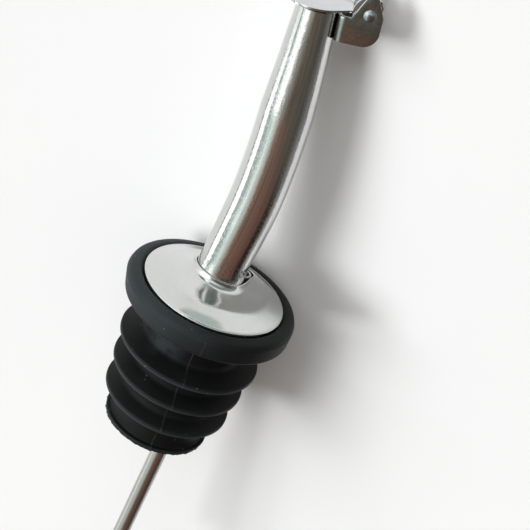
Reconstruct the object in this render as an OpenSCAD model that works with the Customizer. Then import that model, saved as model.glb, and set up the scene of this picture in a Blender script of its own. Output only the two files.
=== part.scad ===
// Bottle pourer with a rubber stopper, a bent tapered spout, a vent tube and a hinged flap lid.
// Millimetres. The origin is the centre of the flange's underside, where the stopper seats on a bottle's lip.
// +Z runs up the stopper's axis, +X points to the hinge, and the spout pours towards -X.

/* [Stopper] */
// Outer diameter of the flange
flange_d = 30; // [28:0.5:36]
// Height of the flange at its outer crest
flange_h = 4.1; // [3.5:0.1:6]
// Rounding of the flange's lower edge
flange_low_round = 0.4; // [0.2:0.1:1.2]
// Rounding of the flange's upper edge
flange_top_round = 1.4; // [0.6:0.1:2]
// Height of the raised lip round the cover plate, above the crest
lip_rise = 0.2; // [0.1:0.05:0.6]
// Depth of the recess for the cover plate, below the lip
recess_depth = 0.8; // [0.5:0.1:1.4]
// Diameter of the core that carries the fins
core_d = 16.8; // [16:0.2:17.2]
// Diameter of the top fin
fin1_d = 24.8; // [22:0.2:27]
// Diameter of the second fin
fin2_d = 23.4; // [21:0.2:26]
// Diameter of the third fin
fin3_d = 22.4; // [20:0.2:25]
// Diameter of the lowest fin, at the stopper's end
fin4_d = 18.6; // [17.4:0.2:22]
// Depth of the top fin's rim below the flange
fin_first = 8; // [6:0.5:10]
// Distance from one fin to the next
fin_pitch = 5.45; // [4.5:0.05:6.5]
// Thickness of a fin at its rounded rim
fin_rim_t = 1; // [0.6:0.1:1.4]
// Thickness of a fin at its root
fin_root_t = 1.6; // [1:0.1:2.4]
// Height by which a fin's root stands above its rim
fin_droop = 0.8; // [0:0.1:1.6]
// Squeeze of the rubber on each tube, on the radius
rubber_squeeze = 0.05; // [0.02:0.01:0.1]

/* [Cover plate] */
// Diameter of the cover plate
plate_d = 24.7; // [22:0.1:26]
// Sheet thickness of the cover plate
plate_t = 0.6; // [0.4:0.05:0.8]
// Height of the plate's turned-down rim
rim_h = 0.9; // [0.7:0.05:1.4]
// Rounding of the plate's rim
rim_round = 0.3; // [0.1:0.05:0.5]
// Rise of the dome from the rim to the collar
dome_rise = 2.75; // [2:0.05:4]
// Power of the dome's curve: 1 is a cone, 2 is flat at the collar and steep at the rim
dome_power = 1.4; // [1.1:0.1:2]
// Height of the collar above the dome, on the spout's axis
collar_h = 0.8; // [0.6:0.1:1.4]
// Tilt of the collar's lip, down towards the vent tube
lip_tilt = 6; // [2:0.5:8]
// Wall of the collar
collar_wall = 0.6; // [0.4:0.05:0.9]
// Gap between the collar and the spout
collar_gap = 0.2; // [0.1:0.05:0.4]
// Gap between the plate's rim and the rubber lip
rim_gap = 0.1; // [0.05:0.05:0.3]

/* [Spout] */
// Outer diameter of the stem in the stopper
stem_d = 8; // [7.2:0.1:8.2]
// Outer diameter of the spout's body
body_d = 8.6; // [8.2:0.1:9.2]
// Outer diameter at the mouth
mouth_d = 6.6; // [6:0.1:7.2]
// Wall of the spout
spout_wall = 0.5; // [0.4:0.05:0.7]
// Height above the flange's underside where the stem starts to flare
flare_start = 5; // [4.5:0.5:8]
// Height above the flange's underside where the bend starts
bend_start = 18; // [14:0.5:22]
// Radius of the bend's centre line
bend_r = 150; // [110:5:200]
// Angle of the bend
bend_angle = 8; // [5:0.5:11]
// Length of the tapered tip
tip_len = 17.3; // [14:0.1:20]

/* [Vent tube] */
// Outer diameter of the vent tube
vent_d = 3; // [2.4:0.1:3.2]
// Wall of the vent tube
vent_wall = 0.4; // [0.3:0.05:0.6]
// Distance from the stopper's axis to the vent tube's axis
vent_offset = 5.75; // [5.7:0.05:6]
// Angle of the vent tube round the stopper's axis, from the hinge side
vent_angle = 49; // [-60:1:60]
// Depth of the vent tube's upper end below the collar's lip
vent_recess = 0.6; // [0.3:0.1:1.2]
// Length of the vent tube below the stopper
vent_drop = 42; // [20:1:80]
// Gap round the vent tube in the plate
vent_gap = 0.15; // [0.1:0.05:0.3]

/* [Hinge] */
// Sheet thickness of the bracket
bracket_t = 0.6; // [0.4:0.05:0.8]
// Width of the bracket over its ears
bracket_w = 5.2; // [4.6:0.1:6]
// Outer radius of the bracket's bends
bracket_bend_r = 1; // [0.9:0.05:1.2]
// Depth of the bracket below the mouth
bracket_drop = 4.4; // [3.4:0.1:6]
// Gap from the mouth's plane down to the bracket's shoulder
shoulder_gap = 0.15; // [0.1:0.05:0.5]
// Depth of the weld that joins the bracket to the spout
weld_depth = 0.08; // [0.04:0.02:0.14]
// Distance from the mouth's centre to the rivet
hinge_reach = 7.85; // [7.2:0.05:8.6]
// Height of the rivet above the mouth's plane
hinge_rise = 0.75; // [0.6:0.05:1]
// Distance from the rivet to the ear's rear edge
ear_back = 2; // [1.5:0.1:2.4]
// Rounding of the ear's lower corner
ear_corner_r = 2.4; // [1:0.1:2.8]
// Distance from the rivet forward to the foot of the ear's slanted edge
ear_front = 2.6; // [2.2:0.05:2.8]
// Height of the ear's round top above the rivet
ear_rise = 3.3; // [2.8:0.1:3.8]
// Radius of the ear's round top
ear_top_r = 0.9; // [0.6:0.05:1.2]
// Diameter of the rivet's shank
rivet_d = 1.2; // [1:0.05:1.5]
// Diameter of the rivet's heads
rivet_head_d = 1.95; // [1.8:0.05:2.4]
// Height of the rivet's domed head
rivet_head_h = 0.55; // [0.4:0.05:0.8]
// Height of the rivet's flattened tail
rivet_tail_h = 0.35; // [0.25:0.05:0.5]
// Radial clearance of the rivet in the bracket
rivet_fit = 0.02; // [0.01:0.01:0.04]

/* [Lid] */
// Diameter of the lid's disc
lid_d = 8.8; // [8.4:0.1:10]
// Forward shift of the disc's centre from the mouth's centre
lid_shift = 0.1; // [0:0.1:0.8]
// Sheet thickness of the lid
lid_t = 0.7; // [0.5:0.05:0.8]
// Gap between the closed lid and the mouth
lid_gap = 0.1; // [0.05:0.05:0.2]
// Side gap between the lid's ears and the bracket's ears
lid_side_gap = 0.15; // [0.1:0.05:0.25]
// Gap between the lid's neck and the ear's slanted edge
lid_neck_gap = 0.25; // [0.2:0.05:0.4]
// Radius of the lid's round ears about the rivet
lid_ear_r = 2.6; // [2.3:0.05:2.8]
// Distance from the rivet to the rear edge of the lid's ears
lid_ear_back = 1.4; // [1.2:0.1:1.7]
// Radial clearance of the lid on the rivet
lid_fit = 0.05; // [0.03:0.01:0.08]

/* [Hidden] */
$fn = 96;
// Overshoot of every cut
cut = 1;
dome_steps = 14;
arc_steps = 8;
// The tip starts this far inside the bend, with a step this small, so that the two forms overlap
tip_lap = 0.1;
tip_step = 0.02;
// The egg-shaped outline's sides run this far inside the tangents of its circles, so that they cross them
egg_lap = 0.02;

flange_r = flange_d / 2;
core_r = core_d / 2;
fin_r = [fin1_d / 2, fin2_d / 2, fin3_d / 2, fin4_d / 2];
fin_z = [for (i = [0 : len(fin_r) - 1]) -fin_first - i * fin_pitch];
stopper_bottom = fin_z[len(fin_z) - 1] - fin_rim_t / 2;
lip_z = flange_h + lip_rise;
seat_z = lip_z - recess_depth;
plate_r = plate_d / 2;
recess_r = plate_r + rim_gap;
dome_r = plate_r - rim_round;

stem_r = stem_d / 2;
body_r = body_d / 2;
mouth_r = mouth_d / 2;
tip_r = body_r - tip_step;
vent_r = vent_d / 2;
vent_hole_r = vent_r + vent_gap;
vent_pos = [vent_offset * cos(vent_angle), vent_offset * sin(vent_angle)];

rim_top = seat_z + rim_h;
collar_top = rim_top + dome_rise + collar_h;
flare_slope = (body_r - stem_r) / (bend_start - flare_start);
spout_r_at_collar = stem_r + flare_slope * max(0, collar_top - flare_start);
collar_r = spout_r_at_collar + collar_gap;
collar_out_r = collar_r + collar_wall;

// The tip's taper tilts its back line further than the bend does, and the hinge follows that line
taper_angle = atan((tip_r - mouth_r) / tip_len);
back_tilt = bend_angle + taper_angle;
bend_end = [-bend_r * (1 - cos(bend_angle)), bend_start + bend_r * sin(bend_angle)];
mouth = [bend_end[0] - tip_len * sin(bend_angle), 0, bend_end[1] + tip_len * cos(bend_angle)];

// Hinge sizes, measured from the mouth's centre, with x along the lid and z along the spout's back line
web_x = mouth_r * cos(taper_angle) - weld_depth;
bracket_y = bracket_w / 2;
ear_x0 = web_x + bracket_bend_r;
ear_x1 = hinge_reach + ear_back;
notch_x = hinge_reach - ear_front;
ear_top = [hinge_reach, hinge_rise + ear_rise - ear_top_r];
lid_y = bracket_y - bracket_t - lid_side_gap;
lid_neck_x = notch_x - lid_neck_gap;
lid_end_x = hinge_reach - rivet_d / 2 - lid_t;
lid_top = lid_gap + lid_t;

// Point where the line from p touches a circle, on its left (side 1) or right (side -1) as seen from p
function touch(p, centre, r, side) =
    let (d = norm(centre - p), a = atan2(centre[1] - p[1], centre[0] - p[0]) + side * asin(r / d))
    p + sqrt(d * d - r * r) * [cos(a), sin(a)];

// Height of the dome's upper side at radius r
function dome_z(r) = rim_top + dome_rise * (1 - pow((r - collar_out_r) / (dome_r - collar_out_r), dome_power));

// Places a child on the mouth's centre, tilted with the spout's back line
module at_mouth() {
    translate(mouth) rotate([0, -back_tilt, 0]) children();
}

// Extrudes a side outline drawn in x and z, centred on the part's plane of symmetry
module side_plate(width) {
    rotate([90, 0, 0]) linear_extrude(width, center = true) children();
}

// Egg-shaped outline round the spout and the vent tube
module egg(spout_side_r, vent_side_r) {
    upper = asin((spout_side_r - vent_side_r) / vent_offset);
    rotate(vent_angle) {
        circle(spout_side_r);
        translate([vent_offset, 0]) circle(vent_side_r);
        polygon([
            (spout_side_r - egg_lap) * [sin(upper), cos(upper)],
            [vent_offset, 0] + (vent_side_r - egg_lap) * [sin(upper), cos(upper)],
            [vent_offset, 0] + (vent_side_r - egg_lap) * [sin(upper), -cos(upper)],
            (spout_side_r - egg_lap) * [sin(upper), -cos(upper)]
        ]);
    }
}

// Points of an arc in a half section, from one angle to another
function arc(centre, r, from, to) = [
    for (i = [0 : arc_steps])
        let (a = from + (to - from) * i / arc_steps)
        centre + r * [cos(a), sin(a)]
];

// Outline of one fin, a drooping flap with a round rim, from its underside to its root above
function fin_outline(r, z, under) = concat(
    under ? [[core_r, z + fin_droop - fin_root_t / 2]] : [],
    arc([r - fin_rim_t / 2, z], fin_rim_t / 2, -90, 90),
    [[core_r, z + fin_droop + fin_root_t / 2]]
);

// Half section of the stopper, from the flat underside of the lowest fin up to the lip
module stopper_section() {
    last = len(fin_r) - 1;
    fins = [for (i = [last : -1 : 0]) each fin_outline(fin_r[i], fin_z[i], i < last)];
    polygon(concat(
        [[0, stopper_bottom]], fins, [[core_r, 0]],
        arc([flange_r - flange_low_round, flange_low_round], flange_low_round, -90, 0),
        arc([flange_r - flange_top_round, flange_h - flange_top_round], flange_top_round, 0, 90),
        [[recess_r, lip_z], [0, lip_z]]
    ));
}

module rubber_stopper() {
    bore_h = lip_z - stopper_bottom + 2 * cut;
    color("#17191b") difference() {
        rotate_extrude() stopper_section();
        translate([0, 0, seat_z]) cylinder(r = recess_r, h = recess_depth + cut);
        translate([0, 0, stopper_bottom - cut]) {
            cylinder(r = stem_r - rubber_squeeze, h = bore_h);
            translate(vent_pos) cylinder(r = vent_r - rubber_squeeze, h = bore_h);
        }
    }
}

// Half section of the plate's dome, with its turned-down rim
module dome_section() {
    radii = [for (i = [0 : dome_steps]) dome_r - i * (dome_r - collar_r) / dome_steps];
    height = [for (r = radii) dome_z(max(r, collar_out_r))];
    top = [for (i = [1 : dome_steps]) [radii[i], height[i]]];
    inner_r = plate_r - plate_t;
    under = [for (i = [dome_steps : -1 : 0]) if (radii[i] < inner_r) [radii[i], height[i] - plate_t]];
    polygon(concat(
        [[plate_r, seat_z]], arc([dome_r, rim_top - rim_round], rim_round, 0, 90), top, under,
        [[inner_r, rim_top - plate_t], [inner_r, seat_z]]
    ));
}

module cover_plate() {
    collar_foot = dome_z(vent_offset + vent_hole_r + collar_wall) - plate_t;
    color("#c9cccd") difference() {
        union() {
            rotate_extrude() dome_section();
            translate([0, 0, collar_foot]) linear_extrude(dome_rise + 2 * collar_h)
                egg(collar_out_r, vent_hole_r + collar_wall);
        }
        translate([0, 0, collar_top]) rotate([0, 0, vent_angle]) rotate([0, lip_tilt, 0])
            translate([-plate_d / 2, -plate_d / 2, 0]) cube([plate_d, plate_d, dome_rise + collar_h]);
        translate([0, 0, seat_z - cut]) linear_extrude(rim_h + 2 * dome_rise + 2 * collar_h)
            egg(collar_r, vent_hole_r);
    }
}

// The spout's outside, or its bore when its wall is taken off, run past both ends by a given length
module spout_form(wall, past) {
    tip_past = mouth_d / 2;
    tip_slope = (tip_r - mouth_r) / tip_len;
    foot_z = stopper_bottom - past;
    rotate_extrude() polygon([
        [0, foot_z],
        [stem_r - wall, foot_z],
        [stem_r - wall, flare_start],
        [body_r - wall, bend_start],
        [0, bend_start]
    ]);
    translate([-bend_r, 0, bend_start]) rotate([90, 0, 0]) rotate_extrude(angle = bend_angle)
        translate([bend_r, 0]) circle(body_r - wall);
    translate([bend_end[0], 0, bend_end[1]]) rotate([0, -bend_angle, 0]) translate([0, 0, -tip_lap]) cylinder(
        r1 = tip_r + tip_slope * tip_lap - wall, r2 = mouth_r - tip_slope * tip_past - wall,
        h = tip_lap + tip_len + tip_past
    );
}

module spout_tube() {
    color("#d3d6d8") difference() {
        spout_form(0, 0);
        spout_form(spout_wall, cut);
        at_mouth() translate([-body_d, -body_d, 0]) cube([2 * body_d, 2 * body_d, mouth_d + cut]);
    }
}

module vent_tube() {
    bottom = stopper_bottom - vent_drop;
    top = collar_top - vent_offset * tan(lip_tilt) - vent_recess;
    color("#a9a8a6") translate([0, 0, bottom]) translate(vent_pos) difference() {
        cylinder(r = vent_r, h = top - bottom);
        translate([0, 0, -cut]) cylinder(r = vent_r - vent_wall, h = top - bottom + 2 * cut);
    }
}

// Side outline of one bracket ear: a lower part with a round corner, and an arm that slants up to a round top
module ear_outline() {
    low = -bracket_drop;
    rear_point = [ear_x1, hinge_rise];
    notch = [notch_x, -shoulder_gap];
    polygon([
        [ear_x0, low],
        [ear_x1 - ear_corner_r, low],
        [ear_x1, low + ear_corner_r],
        rear_point,
        touch(rear_point, ear_top, ear_top_r, -1),
        ear_top,
        touch(notch, ear_top, ear_top_r, 1),
        notch,
        [ear_x0, -shoulder_gap]
    ]);
    translate([ear_x1 - ear_corner_r, low + ear_corner_r]) circle(ear_corner_r);
    translate(ear_top) circle(ear_top_r);
}

// Plan of the bracket's web with its two bends
module web_plan() {
    inner_r = bracket_bend_r - bracket_t;
    translate([web_x, -bracket_y + bracket_bend_r]) square([bracket_t, bracket_w - 2 * bracket_bend_r]);
    for (side = [-1, 1]) translate([ear_x0, side * (bracket_y - bracket_bend_r)]) intersection() {
        difference() {
            circle(bracket_bend_r);
            circle(inner_r);
        }
        translate([-bracket_bend_r, side > 0 ? 0 : -bracket_bend_r]) square(bracket_bend_r);
    }
}

module hinge_bracket() {
    color("#5b5650") at_mouth() difference() {
        union() {
            translate([0, 0, -bracket_drop]) linear_extrude(bracket_drop - shoulder_gap) web_plan();
            for (side = [-1, 1]) translate([0, side * (bracket_y - bracket_t / 2), 0])
                side_plate(bracket_t) ear_outline();
        }
        translate([hinge_reach, 0, hinge_rise]) rotate([90, 0, 0])
            cylinder(d = rivet_d + 2 * rivet_fit, h = bracket_w + 2 * cut, center = true);
    }
}

// Half section of the rivet's domed head, a cap of a sphere
module rivet_head_section() {
    head_r = rivet_head_d / 2;
    sphere_r = (head_r * head_r + rivet_head_h * rivet_head_h) / (2 * rivet_head_h);
    intersection() {
        translate([0, rivet_head_h - sphere_r]) circle(sphere_r);
        square([head_r, rivet_head_h]);
    }
}

module hinge_rivet() {
    color("#7d8083") at_mouth() translate([hinge_reach, 0, hinge_rise]) rotate([90, 0, 0]) {
        cylinder(d = rivet_d, h = bracket_w, center = true);
        translate([0, 0, bracket_y]) rotate_extrude() rivet_head_section();
        translate([0, 0, -bracket_y - rivet_tail_h]) cylinder(d = rivet_head_d, h = rivet_tail_h);
    }
}

// Plan of the lid: a disc that narrows to a neck between the bracket's ears
module lid_plan() {
    lid_r = lid_d / 2;
    centre = [-lid_shift, 0];
    translate(centre) circle(lid_r);
    polygon([
        centre,
        touch([lid_neck_x, lid_y], centre, lid_r, -1),
        [lid_neck_x, lid_y],
        [lid_end_x, lid_y],
        [lid_end_x, -lid_y],
        [lid_neck_x, -lid_y],
        touch([lid_neck_x, -lid_y], centre, lid_r, 1)
    ]);
}

// Side outline of one lid ear, round about the rivet and cut off at the rear
module lid_ear_outline() {
    intersection() {
        circle(lid_ear_r);
        translate([-lid_ear_r, -lid_ear_r]) square([lid_ear_r + lid_ear_back, 2 * lid_ear_r]);
    }
}

module flap_lid() {
    color("#b9bcbe") at_mouth() difference() {
        union() {
            translate([0, 0, lid_gap]) linear_extrude(lid_t) lid_plan();
            for (side = [-1, 1]) translate([hinge_reach, side * (lid_y - lid_t / 2), hinge_rise])
                side_plate(lid_t) lid_ear_outline();
        }
        translate([hinge_reach, 0, hinge_rise]) rotate([90, 0, 0])
            cylinder(d = rivet_d + 2 * lid_fit, h = bracket_w, center = true);
    }
}

rubber_stopper();
cover_plate();
spout_tube();
vent_tube();
hinge_bracket();
hinge_rivet();
flap_lid();
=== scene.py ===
import math

import bmesh
import bpy
import numpy as np
from mathutils import Matrix, Vector


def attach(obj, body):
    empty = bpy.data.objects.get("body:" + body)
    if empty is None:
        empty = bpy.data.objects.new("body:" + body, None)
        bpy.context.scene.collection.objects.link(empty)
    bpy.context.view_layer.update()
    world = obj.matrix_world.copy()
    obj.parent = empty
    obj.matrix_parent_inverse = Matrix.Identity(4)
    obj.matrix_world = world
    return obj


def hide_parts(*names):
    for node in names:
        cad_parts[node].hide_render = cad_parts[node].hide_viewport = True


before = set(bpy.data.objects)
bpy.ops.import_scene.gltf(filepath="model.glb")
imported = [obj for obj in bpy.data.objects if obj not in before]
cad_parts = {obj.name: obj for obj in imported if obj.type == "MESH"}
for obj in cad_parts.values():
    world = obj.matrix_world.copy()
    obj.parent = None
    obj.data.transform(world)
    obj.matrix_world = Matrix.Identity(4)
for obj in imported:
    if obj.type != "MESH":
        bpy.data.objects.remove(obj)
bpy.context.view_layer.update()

MM = 0.001
# Angle in degrees beyond which an edge is shaded as sharp
SHARP = 35
# Radius of the first point of a turned section that reaches the axis
NEAR_AXIS = 0.01

# Sizes of the part, in millimetres. Most are as in its source, and a few follow the photograph more closely
FLANGE_R, FLANGE_H, LIP_Z, SEAT_Z = 15.0, 4.1, 4.3, 3.5
CORE_R = 8.4
FIN_R = (12.4, 11.7, 11.2, 9.3)
FIN_FIRST, FIN_PITCH, FIN_RIM, FIN_ROOT, FIN_DROOP = 8.0, 5.45, 1.0, 1.6, 0.8
FIN_Z = [-FIN_FIRST - FIN_PITCH * i for i in range(len(FIN_R))]
STOPPER_BOTTOM = FIN_Z[-1] - FIN_RIM / 2
PLATE_R, PLATE_T, RIM_TOP, RECESS_R = 12.35, 0.6, 4.4, 12.45
COLLAR_TOP, LIP_TILT, LIP_WALL = 7.95, math.radians(6), 0.3
STEM_R, BODY_R, MOUTH_R, WALL = 4.0, 4.3, 3.3, 0.5
FLARE_START, BEND_START, BEND_R, BEND = 5.0, 18.0, 150.0, math.radians(8)
TIP_LEN, TIP_R = 17.3, 4.28
VENT_R, VENT_BORE, VENT_OFFSET, VENT_ANGLE = 1.5, 1.1, 5.75, math.radians(49)
VENT_DROP, VENT_RECESS, VENT_GAP = 42.0, 0.6, 0.15
BRACKET_T, BRACKET_Y, BRACKET_BEND_R, BRACKET_DROP, SHOULDER = 0.6, 2.6, 1.3, 4.1, -0.15
HINGE_X, HINGE_Z = 7.85, 0.75
EAR_BACK, EAR_FRONT, EAR_CORNER_R, EAR_RISE, EAR_TOP_R = 2.0, 2.6, 2.4, 3.29, 0.9
RIVET_R, RIVET_HEAD_R, RIVET_HEAD_H, RIVET_TAIL_H, RIVET_FIT = 0.6, 0.975, 0.42, 0.35, 0.02
LID_R, LID_SHIFT, LID_T, LID_GAP, LID_Y = 4.4, 0.1, 0.7, 0.1, 1.85
LID_NECK_GAP, LID_EAR_R, LID_EAR_BACK, LID_FIT = 0.25, 2.6, 1.4, 0.05

TAPER = math.atan((TIP_R - MOUTH_R) / TIP_LEN)
BACK_TILT = BEND + TAPER
BEND_END = Vector((-BEND_R * (1 - math.cos(BEND)), 0, BEND_START + BEND_R * math.sin(BEND)))
TIP_AXIS = Vector((-math.sin(BEND), 0, math.cos(BEND)))
MOUTH = BEND_END + TIP_AXIS * TIP_LEN
# The mouth's own frame: x along the lid to the hinge, z along the spout's back line
MOUTH_FRAME = Matrix.Translation(MOUTH) @ Matrix.Rotation(-BACK_TILT, 4, "Y")
# The hinge's frame: z along the rivet, towards the camera's side
HINGE_FRAME = MOUTH_FRAME @ Matrix.Translation((HINGE_X, 0, HINGE_Z)) @ Matrix.Rotation(math.pi / 2, 4, "X")
WEB_X = MOUTH_R * math.cos(TAPER) - 0.08
EAR_X0, EAR_X1 = WEB_X + BRACKET_BEND_R, HINGE_X + EAR_BACK
NOTCH_X = HINGE_X - EAR_FRONT
EAR_TOP = (HINGE_X, HINGE_Z + EAR_RISE - EAR_TOP_R)

# The photograph's camera, in the part's frame
ELEVATION, ROLL, AZIMUTH = math.radians(28.2), math.radians(25.65), math.radians(-8)
DISTANCE, SHIFT_RIGHT, SHIFT_UP, AIM_Z = 230.0, 5.88, 7.82, 3.5
FOCAL_PX, FRAME_PX, SENSOR = 1380.0, 530.0, 36.0
TO_CAMERA = Vector((
    math.sin(AZIMUTH) * math.cos(ELEVATION), -math.cos(AZIMUTH) * math.cos(ELEVATION), math.sin(ELEVATION)))
RIGHT = Vector((math.cos(AZIMUTH), math.sin(AZIMUTH), 0))
UP = TO_CAMERA.cross(RIGHT)
TOWARDS = Vector((math.sin(AZIMUTH), -math.cos(AZIMUTH), 0))
PICTURE_X = RIGHT * math.cos(ROLL) + UP * math.sin(ROLL)
PICTURE_Y = UP * math.cos(ROLL) - RIGHT * math.sin(ROLL)

# The table lies behind the part, touched by the flange and the lid, and leans from the part's axis
TABLE_TILT, TABLE_DEPTH = math.radians(-10.8), 15.4
TABLE_NORMAL = TOWARDS * math.cos(TABLE_TILT) + Vector((0, 0, math.sin(TABLE_TILT)))
TABLE_ACROSS = (PICTURE_X - TABLE_NORMAL * PICTURE_X.dot(TABLE_NORMAL)).normalized()
TABLE_ALONG = TABLE_NORMAL.cross(TABLE_ACROSS)
# It ends just outside the picture above and to the right, where metal mirrors the room, and far off elsewhere
TABLE_END, TABLE_RIGHT, TABLE_FAR = 180.0, 66.0, 1500.0


def add_object(name, data):
    obj = bpy.data.objects.new(name, data)
    bpy.context.scene.collection.objects.link(obj)
    return obj


def mesh_piece(name, points, faces, sharp=SHARP, place=None):
    """A smooth-shaded object from points in millimetres, with sharp edges beyond the angle."""
    mesh = bpy.data.meshes.new(name)
    mesh.from_pydata([tuple(p) for p in points], [], faces)
    bm = bmesh.new()
    bm.from_mesh(mesh)
    bmesh.ops.remove_doubles(bm, verts=bm.verts, dist=1e-5)
    bmesh.ops.recalc_face_normals(bm, faces=bm.faces)
    bm.to_mesh(mesh)
    bm.free()
    if place is not None:
        mesh.transform(place)
    mesh.transform(Matrix.Scale(MM, 4))
    finish_shading(mesh, sharp)
    return add_object(name, mesh)


def finish_shading(mesh, sharp=SHARP):
    mesh.polygons.foreach_set("use_smooth", [True] * len(mesh.polygons))
    mesh.set_sharp_from_angle(angle=math.radians(sharp))
    mesh.update()


def apply_modifiers(obj):
    bpy.context.view_layer.update()
    graph = bpy.context.evaluated_depsgraph_get()
    mesh = bpy.data.meshes.new_from_object(obj.evaluated_get(graph))
    obj.modifiers.clear()
    obj.data = mesh


def combine(obj, tool, operation="DIFFERENCE"):
    """Cuts the tool out of the object, or joins it on, and removes the tool."""
    boolean = obj.modifiers.new("cut", "BOOLEAN")
    boolean.operation = operation
    boolean.solver = "EXACT"
    boolean.object = tool
    apply_modifiers(obj)
    bpy.data.objects.remove(tool)


def bevel(obj, width, segments=2):
    soft = obj.modifiers.new("soft_edges", "BEVEL")
    soft.width = width * MM
    soft.segments = segments
    soft.limit_method = "ANGLE"
    soft.angle_limit = math.radians(40)
    soft.use_clamp_overlap = True
    apply_modifiers(obj)
    finish_shading(obj.data)


def rounded(corners, steps=5, closed=True):
    """A polyline through corners (x, y, cut), each corner replaced by a curve that starts cut before it."""
    points = []
    count = len(corners)
    for i, (x, y, cut) in enumerate(corners):
        here = Vector((x, y))
        if cut <= 0 or (not closed and i in (0, count - 1)):
            points.append(here)
            continue
        before = Vector(corners[i - 1][:2]) - here
        after = Vector(corners[(i + 1) % count][:2]) - here
        start = here + before.normalized() * min(cut, before.length * 0.49)
        end = here + after.normalized() * min(cut, after.length * 0.49)
        for k in range(steps + 1):
            t = k / steps
            points.append(start * (1 - t) ** 2 + here * 2 * t * (1 - t) + end * t * t)
    return points


def grid_faces(rows, columns):
    """Faces of a grid of points that closes on itself both ways, like the skin of a ring."""
    faces = []
    for i in range(rows):
        here, above = i * columns, (i + 1) % rows * columns
        for j in range(columns):
            beside = (j + 1) % columns
            faces.append((here + j, here + beside, above + beside, above + j))
    return faces


def turns(count):
    return [2 * math.pi * i / count for i in range(count)]


def lathe(name, profile, angles, sharp=SHARP, place=None, shape=None):
    """Turns a closed half section (r, z) round the z axis. shape may move each point."""
    points = []
    for r, z in profile:
        for a in angles:
            p = Vector((r * math.cos(a), r * math.sin(a), z))
            points.append(shape(p, r, z, a) if shape else p)
    return mesh_piece(name, points, grid_faces(len(profile), len(angles)), sharp, place)


def round_bar(name, r, low, high, count, place):
    """A bar along z, to cut a hole with."""
    profile = [(NEAR_AXIS, low), (r, low), (r, high), (NEAR_AXIS, high)]
    return lathe(name, profile, turns(count), place=place)


def prism(name, outline, low, high, axis="Z", place=None):
    """A closed outline (x, y) pushed from low to high along z, or (x, z) along y."""
    count = len(outline)
    points = []
    for level in (low, high):
        for p in outline:
            points.append(Vector((p[0], p[1], level)) if axis == "Z" else Vector((p[0], level, p[1])))
    faces = [tuple(range(count)), tuple(range(count, 2 * count))]
    faces += [(i, (i + 1) % count, count + (i + 1) % count, count + i) for i in range(count)]
    return mesh_piece(name, points, faces, place=place)


def circle_points(centre, r, start, end, steps):
    angles = [start + (end - start) * i / steps for i in range(steps + 1)]
    return [Vector((centre[0] + r * math.cos(a), centre[1] + r * math.sin(a))) for a in angles]


def touch(point, centre, r, side):
    """Where the line from a point touches a circle, on its left (1) or right (-1) as seen from the point."""
    p, c = Vector(point), Vector(centre)
    d = (c - p).length
    a = math.atan2(c.y - p.y, c.x - p.x) + side * math.asin(r / d)
    return p + Vector((math.cos(a), math.sin(a))) * math.sqrt(d * d - r * r)


def ease(t):
    """A soft step from 0 to 1 while t goes from 0 to 1."""
    t = min(max(t, 0.0), 1.0)
    return t * t * (3 - 2 * t)


# Camera
camera_data = bpy.data.cameras.new("camera")
camera_data.sensor_width = SENSOR
camera_data.lens = SENSOR * FOCAL_PX / FRAME_PX
camera_data.clip_start, camera_data.clip_end = 0.01, 10
camera = add_object("camera", camera_data)
camera_place = Matrix((PICTURE_X, PICTURE_Y, TO_CAMERA)).transposed().to_4x4()
camera_place.translation = (
    Vector((0, 0, AIM_Z)) + TO_CAMERA * DISTANCE + RIGHT * SHIFT_RIGHT + UP * SHIFT_UP) * MM
camera.matrix_world = camera_place
bpy.context.scene.camera = camera


# Stopper
# The mould's two parting lines: their turns, and the height and width of their ridge
PARTING_ANGLE = math.radians(-87)
PARTING_LINES = (PARTING_ANGLE, PARTING_ANGLE + math.pi)
PARTING_H, PARTING_W = 0.035, 0.09
# Distances from a parting line at which the mesh has points
PARTING_STEPS = (0.0, 0.05, 0.1, 0.16, 0.24, 0.4)
# How far the fins stand to the back, and the depth below the flange where they stand so far
BODY_LEAN, BODY_LEAN_DEPTH = 0.2, 5
# How far the flange's lower edge draws in at the pouring side, the height where that ends, and its reach below
FLANGE_LEAN, FLANGE_LEAN_TOP, FLANGE_LEAN_H = 0.65, 3.6, 3.4
# The ragged trimmed edge at the bottom: its depth, its mean, and its waves as size, count and start
RAGGED, RAGGED_MEAN = 0.045, -0.03
RAGGED_WAVES = ((0.7, 7, 1), (1, 23, 0), (1, 41, 2), (1, 67, 4))
# How far the rubber stays inside the flange's full radius, and how much tighter its bores are than the tubes
EDGE_ROOM, GRIP = 0.005, 0.02
# Corners of a fin's rim, from below: offsets from its radius and its height, and rounding
FIN_EDGE = ((0.0, -FIN_RIM / 2, 0.45), (0.0, FIN_RIM / 2, 0.25))
LOWEST_FIN_EDGE = ((0.0, -FIN_RIM / 2, 0.15), (0.0, 0.32, 0.12), (-0.8, 0.37, 0.3))
# Rounding at a fin's root, below and above it
ROOT_BELOW, ROOT_ABOVE = 0.5, 0.9
# Corners of the flange, from the core up to the plate's recess: radius, height and rounding
FLANGE_EDGE = (
    (CORE_R, 0, 0.5), (FLANGE_R, 0, 0.8), (FLANGE_R, 2.9, 0.06), (FLANGE_R - 0.38, 3.85, 0.6),
    (FLANGE_R - 1.4, FLANGE_H + 0.1, 0.4), (RECESS_R + 0.55, LIP_Z - 0.05, 0.25),
    (RECESS_R + 0.1, SEAT_Z + 0.35, 0.1), (RECESS_R, SEAT_Z, 0))
# Lightening of the flange, partly dust and partly painted light: its mean, and how much more of it the pouring
# side has, which is painted light on the side the lamps come from
FLANGE_DUST_AND_LIGHT, FLANGE_SIDE_LIGHT = 0.45, 0.4
# Height where the flange's lightening starts, and over which it grows
LIGHTER_START, LIGHTER_RISE = 0.15, 0.9
# The lighter band on a fin's rim, partly wear and partly a painted highlight: how far inside the rim and below
# its middle it lies, and its width
RIM_BAND_IN, RIM_BAND_BELOW, RIM_BAND_W = 0.4, 0.1, 0.35


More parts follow.
